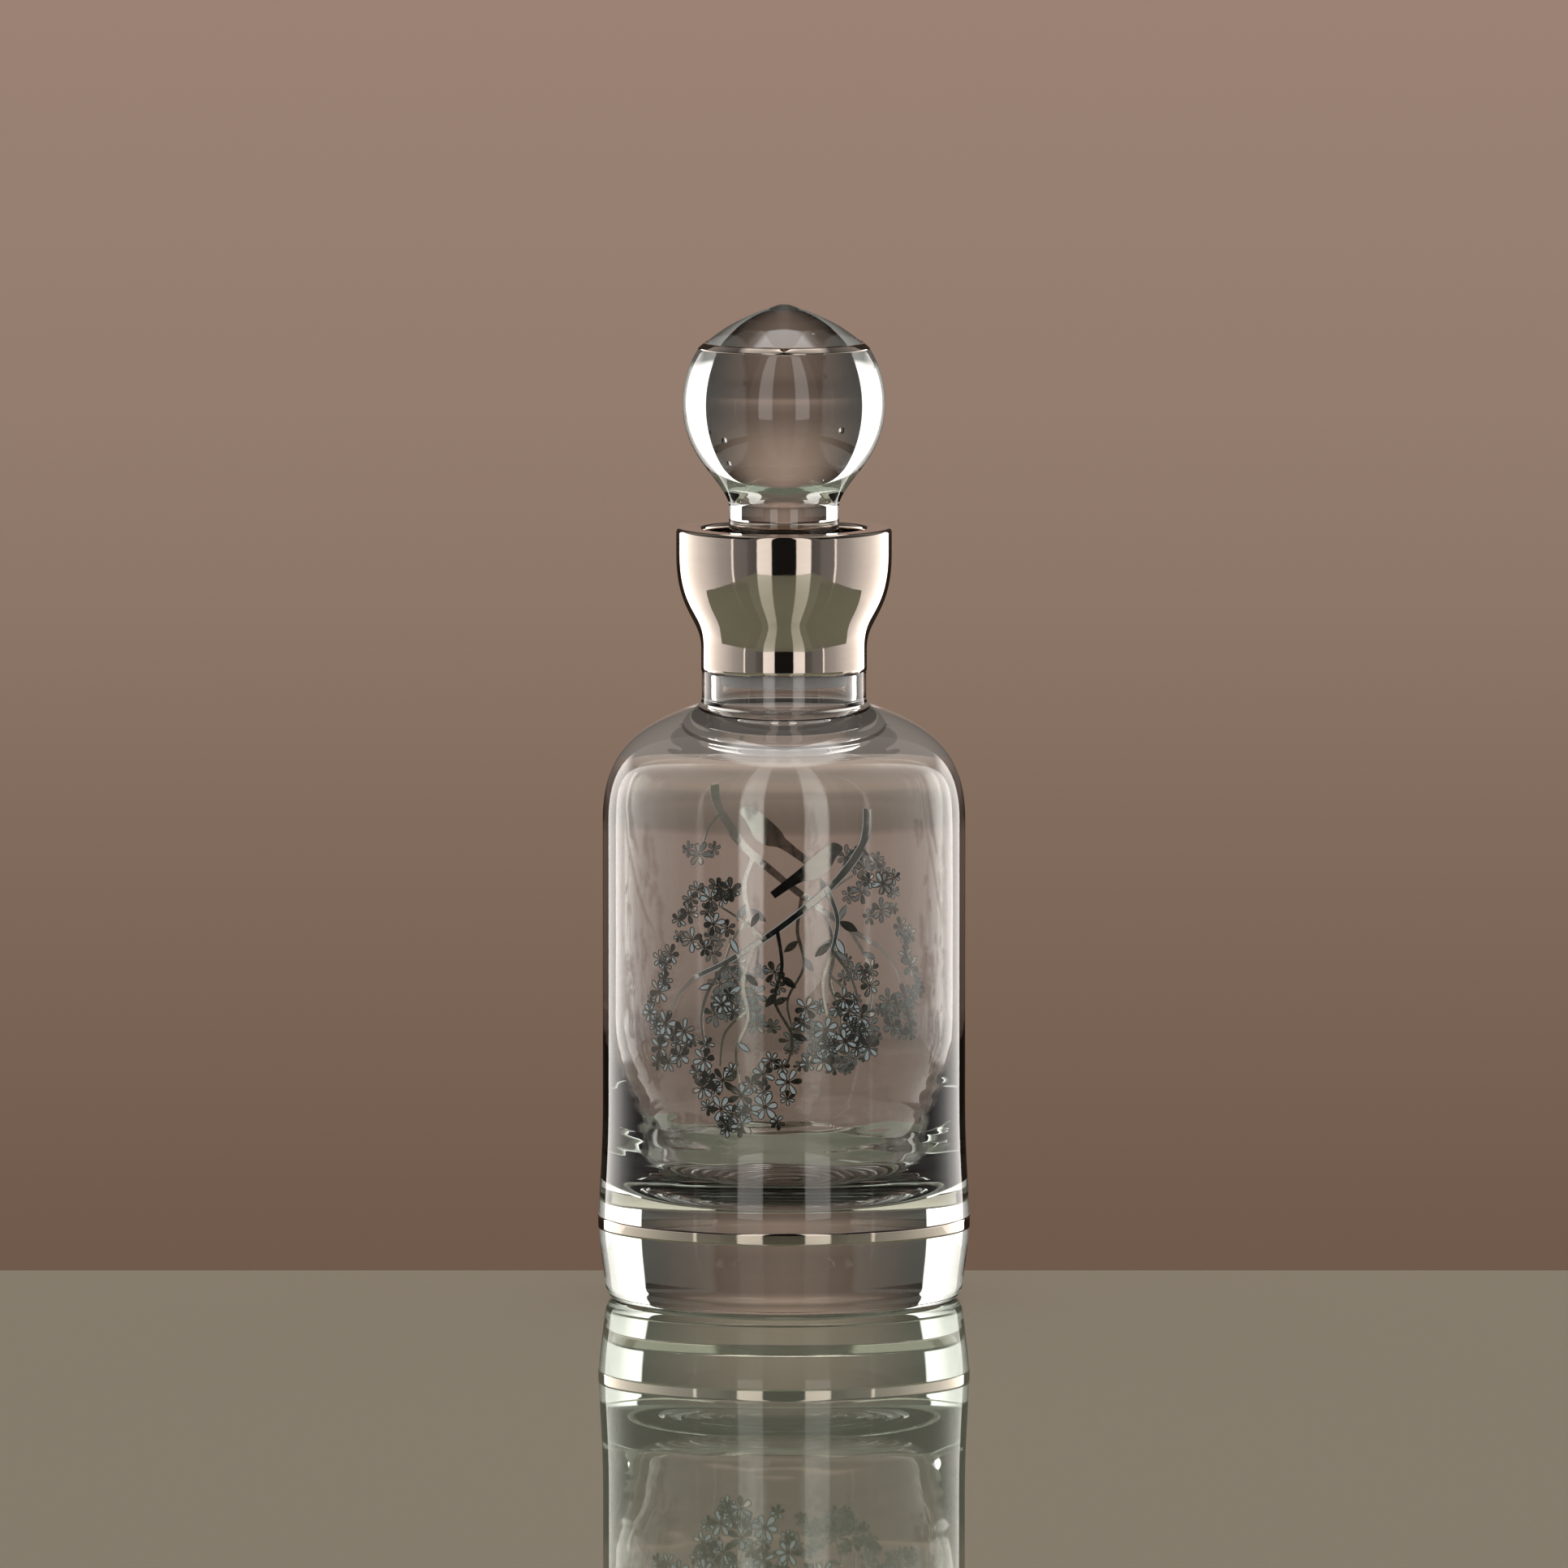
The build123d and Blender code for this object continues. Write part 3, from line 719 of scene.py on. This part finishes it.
def draw_cluster(film, rng, blossoms):
    """The blossoms of the design, with smaller ones tucked in round them."""
    for i, (s, z, radius, turn) in enumerate(blossoms):
        draw_blossom(film, rng, s, z, radius, turn, 0.012 * (i % 3))
        for k in range(2):
            heading, away = math.radians(rng.uniform(0, 360)), radius * rng.uniform(1.15, 1.55)
            draw_blossom(film, rng, s + away * math.cos(heading), z + away * math.sin(heading),
                         radius * rng.uniform(0.55, 0.85), rng.uniform(0, 60), -0.012 * (k + 1))


def draw_bird(film):
    """A plain silhouette of a small perching bird."""
    def place(points):
        return [(BIRD_AT[0] + BIRD_SIZE * p, BIRD_AT[1] + BIRD_SIZE * q) for p, q in points]
    back, belly = smooth(place(BIRD_BACK), 6), smooth(list(reversed(place(BIRD_BELLY))), 8)
    count = 48

    def even(line):
        sizes = [0.0]
        for p, q in zip(line, line[1:]):
            sizes.append(sizes[-1] + math.hypot(q[0] - p[0], q[1] - p[1]))
        out, j = [], 0
        for i in range(count):
            d = sizes[-1] * i / (count - 1)
            while j < len(line) - 2 and sizes[j + 1] < d:
                j += 1
            t = (d - sizes[j]) / max(sizes[j + 1] - sizes[j], 1e-9)
            out.append(tuple(p + (q - p) * t for p, q in zip(line[j], line[j + 1])))
        return out

    upper, lower = even(back), even(belly)
    rows = [[(a[0] + (b[0] - a[0]) * u, a[1] + (b[1] - a[1]) * u) for u in (0, 0.33, 0.67, 1)]
            for a, b in zip(upper[1:], lower[1:])]
    film.plate(rows, FILL_H, METAL)


def draw_group(group, turn, seed):
    film = Film(turn)
    rng = random.Random(seed)
    if group == "bough":
        draw_stroke(film, BOUGH, 2.0, 1.0, 1.0, 0.16)
        draw_stroke(film, SIDE_BOUGH, 1.2, 0.8, 2.0, 0.13)
    elif group == "twigs":
        for i, (path, w0, w1) in enumerate(TWIGS):
            draw_stroke(film, path, w0, w1, 3.0 + i)
        for leaf in LEAVES:
            draw_leaf(film, rng, *leaf)
    elif group == "bird":
        draw_bird(film)
    else:
        draw_cluster(film, rng, CLUSTERS[group.split("_")[1]])
    return film


GROUPS = ("bough", "twigs", "bird", "blossoms_upper", "blossoms_left", "blossoms_lower", "blossoms_right")
for side, turn in (("front", 0.0), ("back", BACK_TURN)):
    for i, group in enumerate(GROUPS):
        film = draw_group(group, turn, 100 + i)
        obj = new_piece(f"{side}_{group}_print", film.verts, film.faces, film.marks,
                        [PRINT, PRINT_PALE, PRINT_DARK], "bottle", "print_metal", f"{side}_{group}")
        obj.data.polygons.foreach_set("use_smooth", [False] * len(obj.data.polygons))

# ---------------------------------------------------------------- table, studio and camera
TABLE_BACK = 0.048
TABLE_HALF, TABLE_FRONT, TABLE_THICK = 0.40, -0.65, 0.006
TABLE_ROUGH, SILVER_SHARE = 0.012, 0.28        # the table reflects more than plain glass does
table_mesh = bpy.data.meshes.new("table")
corners = [(-TABLE_HALF, TABLE_FRONT), (TABLE_HALF, TABLE_FRONT), (TABLE_HALF, TABLE_BACK),
           (-TABLE_HALF, TABLE_BACK)]
table_mesh.from_pydata([(x, y, 0) for x, y in corners] + [(x, y, -TABLE_THICK) for x, y in corners], [],
                       [(0, 1, 2, 3), (7, 6, 5, 4), (0, 4, 5, 1), (1, 5, 6, 2), (2, 6, 7, 3), (3, 7, 4, 0)])
table = bpy.data.objects.new("table", table_mesh)
bpy.context.scene.collection.objects.link(table)
mat, nodes, links, shader = material("table_gloss")
shader.inputs["Base Color"].default_value = (0.42, 0.44, 0.335, 1)
shader.inputs["Roughness"].default_value = TABLE_ROUGH
shader.inputs["IOR"].default_value = 1.5
shader.inputs["Specular Tint"].default_value = (0.88, 1.0, 0.91, 1)
silver = nodes.new("ShaderNodeBsdfGlossy")
silver.inputs["Color"].default_value = (0.80, 0.90, 0.81, 1)
silver.inputs["Roughness"].default_value = TABLE_ROUGH
blend = nodes.new("ShaderNodeMixShader")
blend.inputs["Fac"].default_value = SILVER_SHARE
links.new(shader.outputs["BSDF"], blend.inputs[1])
links.new(silver.outputs["BSDF"], blend.inputs[2])
links.new(blend.outputs["Shader"], nodes["Material Output"].inputs["Surface"])
table_mesh.materials.append(mat)


def grey(v, warm=0.0):
    """A linear colour of one brightness, warmer as warm grows."""
    return (v * (1 + warm), v, v * (1 - warm), 1)


world = bpy.data.worlds.new("studio")
bpy.context.scene.world = world
world.use_nodes = True
nodes, links = world.node_tree.nodes, world.node_tree.links


def math_node(op, a, b=None):
    node = nodes.new("ShaderNodeMath")
    node.operation = op
    for slot_index, value in ((0, a), (1, b)):
        if value is None:
            continue
        if isinstance(value, (int, float)):
            node.inputs[slot_index].default_value = value
        else:
            links.new(value, node.inputs[slot_index])
    return node.outputs["Value"]


def ramp(value, stops):
    """Colour ramp through (position, colour) stops."""
    node = nodes.new("ShaderNodeValToRGB")
    elements = node.color_ramp.elements
    while len(elements) > 1:
        elements.remove(elements[-1])
    elements[0].position, elements[0].color = stops[0]
    for position, color in stops[1:]:
        elements.new(position).color = color
    links.new(value, node.inputs["Fac"])
    return node.outputs["Color"]


def mix(kind, fac, a, b):
    node = nodes.new("ShaderNodeMix")
    node.data_type = "RGBA"
    node.blend_type = kind
    for name, value in (("Factor", fac), ("A", a), ("B", b)):
        if isinstance(value, (int, float, tuple)):
            node.inputs[name].default_value = value
        else:
            links.new(value, node.inputs[name])
    return node.outputs["Result"]


direction = nodes.new("ShaderNodeTexCoord").outputs["Generated"]
split = nodes.new("ShaderNodeSeparateXYZ")
links.new(direction, split.inputs["Vector"])
dx, dy, dz = split.outputs
flat = math_node("SQRT", math_node("ADD", math_node("MULTIPLY", dx, dx), math_node("MULTIPLY", dy, dy)))
facing = math_node("DIVIDE", math_node("MULTIPLY", dy, -1.0), math_node("MAXIMUM", flat, 1e-4))
# around is 0 in front of the bottle (-Y) and 1 behind it.
# height is 0 straight down, 0.5 level and 1 straight up.
around = math_node("DIVIDE", math_node("ARCCOSINE", facing), math.pi)
height = math_node("ADD", math_node("MULTIPLY", dz, 0.5), 0.5)


def by_height(stops):
    """Ramp over the vertical part of the direction, -1 down to 1 up."""
    return ramp(height, [(0.5 + 0.5 * z, color) for z, color in stops])


def by_angle(stops):
    """Ramp over the angle round the bottle, 0 degrees in front and 180 behind."""
    return ramp(around, [(a / 180, color) for a, color in stops])


# Plain cloth. In the front picture it is darkest at the table's edge and lightest at the top. The stops
# beyond that picture are for mirror images and other views.
cloth = by_height([
    (-0.42, (0.26, 0.22, 0.185, 1)), (-0.20, (0.17, 0.12, 0.092, 1)), (-0.135, (0.135, 0.083, 0.058, 1)),
    (-0.1113, (0.155, 0.099, 0.068, 1)), (-0.0955, (0.215, 0.143, 0.103, 1)),
    (-0.0819, (0.285, 0.200, 0.150, 1)), (-0.0637, (0.325, 0.222, 0.174, 1)),
    (0.08, (0.315, 0.225, 0.178, 1)), (0.14, (0.25, 0.19, 0.155, 1)), (0.5, (0.30, 0.25, 0.21, 1)),
    (0.8, (0.16, 0.13, 0.11, 1))])

# The same cloth as the glass bends it into view, darker at the sides and below.
WARM = (1.34, 0.93, 0.73)
BENT = [(-0.9, 0.10), (-0.45, 0.13), (-0.27, 0.12), (-0.2, 0.09), (-0.1113, 0.105), (-0.1047, 0.12),
        (-0.0986, 0.15), (-0.094, 0.185), (-0.078, 0.185), (-0.05, 0.14), (0.0, 0.115), (0.06, 0.125),
        (0.2, 0.20), (0.4, 0.25), (0.7, 0.22), (0.95, 0.16)]
bent_cloth = by_height([(z, (*[v * c for c in WARM], 1)) for z, v in BENT])

# Lamps round the bottle, by angle: darkness in front, two strips, beige walls, then the tall rear softboxes.
STRIPS = [(0, 0.008), (12.8, 0.008), (13.6, 0.85), (28.6, 0.95), (29.6, 0.08), (38.5, 0.10)]
STRIPS_END = 40
WALLS = [(41, 0.14), (55.5, 0.16), (56.6, 1.0), (57.6, 1.0), (58.8, 0.27), (75, 0.36), (90, 0.56),
         (104, 0.76), (113, 0.95), (124, 1.3)]
MIRROR_BOXES = [(136, 2.0), (149, 2.8), (150.5, 0.0)]
GLASS_BOXES = [(134, 2.1), (139.6, 2.4), (140.4, 0.0)]
mirror_ring = by_angle([(a, grey(v, 0.05)) for a, v in STRIPS + WALLS + MIRROR_BOXES])
glass_ring = by_angle([(a, grey(v, 0.05)) for a, v in STRIPS + WALLS + GLASS_BOXES])

# How far up and down the lamps reach, and how much of the cloth is seen, both mirrored and through glass.
strips_reach = by_height([(-0.5, grey(0.08)), (-0.4, grey(1)), (0.85, grey(1)), (0.93, grey(0.08))])
mirror_reach = by_height([(-0.7, grey(0.5)), (-0.4, grey(1)), (0.24, grey(1)), (0.34, grey(0.10)),
                          (0.84, grey(0.06)), (0.90, grey(0.5))])
glass_reach = by_height([(-0.42, grey(0.12)), (-0.35, grey(1)), (0.80, grey(1)), (0.90, grey(0.14))])
mirror_cloth = by_angle([(150, grey(0)), (151, grey(0.10)), (172, grey(0.16)), (176, grey(1)),
                         (180, grey(1))])
glass_cloth = by_angle([(0, grey(0.5)), (140.4, grey(0.04)), (145, grey(0.14)), (155, grey(0.42)),
                        (165, grey(0.72)), (172, grey(0.88)), (180, grey(1))])
front = math_node("LESS_THAN", around, STRIPS_END / 180)
path = nodes.new("ShaderNodeLightPath")
through = path.outputs["Is Transmission Ray"]
reach = mix("MIX", through, mix("MIX", front, mirror_reach, strips_reach), glass_reach)
lamps = mix("MULTIPLY", 1.0, mix("MIX", through, mirror_ring, glass_ring), reach)

# Sharp reflections show stronger strips, less of the beige walls, and a lamp overhead. Blurred ones don't get
# this change.
glass_gain = by_angle([(0, grey(2.5)), (39, grey(2.5)), (41, grey(0.35)), (108, grey(0.35)), (128, grey(1)),
                       (180, grey(1))])
overhead = by_height([(0.90, grey(0)), (0.93, grey(3.5)), (1.0, grey(3.5))])
sharp = math_node("SUBTRACT", path.outputs["Is Singular Ray"], through)
lamps = mix("MULTIPLY", 1.0, lamps, mix("MIX", sharp, grey(1), glass_gain))
lamps = mix("ADD", 1.0, lamps, mix("MIX", sharp, grey(0), overhead))

mirrored = mix("MULTIPLY", 1.0, cloth, mirror_cloth)
bent = mix("MULTIPLY", 1.0, bent_cloth, glass_cloth)
studio = mix("ADD", 1.0, lamps, mix("MIX", through, mirrored, bent))
SOFT_LIGHT = (0.46, 0.45, 0.43, 1)     # even light on matt surfaces
soft = mix("MIX", path.outputs["Is Diffuse Ray"], studio, SOFT_LIGHT)
links.new(mix("MIX", path.outputs["Is Camera Ray"], soft, cloth), nodes["Background"].inputs["Color"])

# A long lens, far off and looking slightly down.
camera_data = bpy.data.cameras.new("camera")
camera_data.lens = 600
camera_data.sensor_width = 36
camera_data.clip_end = 100
camera = bpy.data.objects.new("camera", camera_data)
bpy.context.scene.collection.objects.link(camera)
bpy.context.scene.camera = camera
AIM, AWAY, TILT = Vector((0, 0, 0.1035)), 5.24, math.radians(5.33)
camera.location = AIM + AWAY * Vector((0, -math.cos(TILT), math.sin(TILT)))
camera.rotation_euler = (AIM - camera.location).to_track_quat("-Z", "Y").to_euler()
bpy.context.scene.view_settings.view_transform = "Standard"
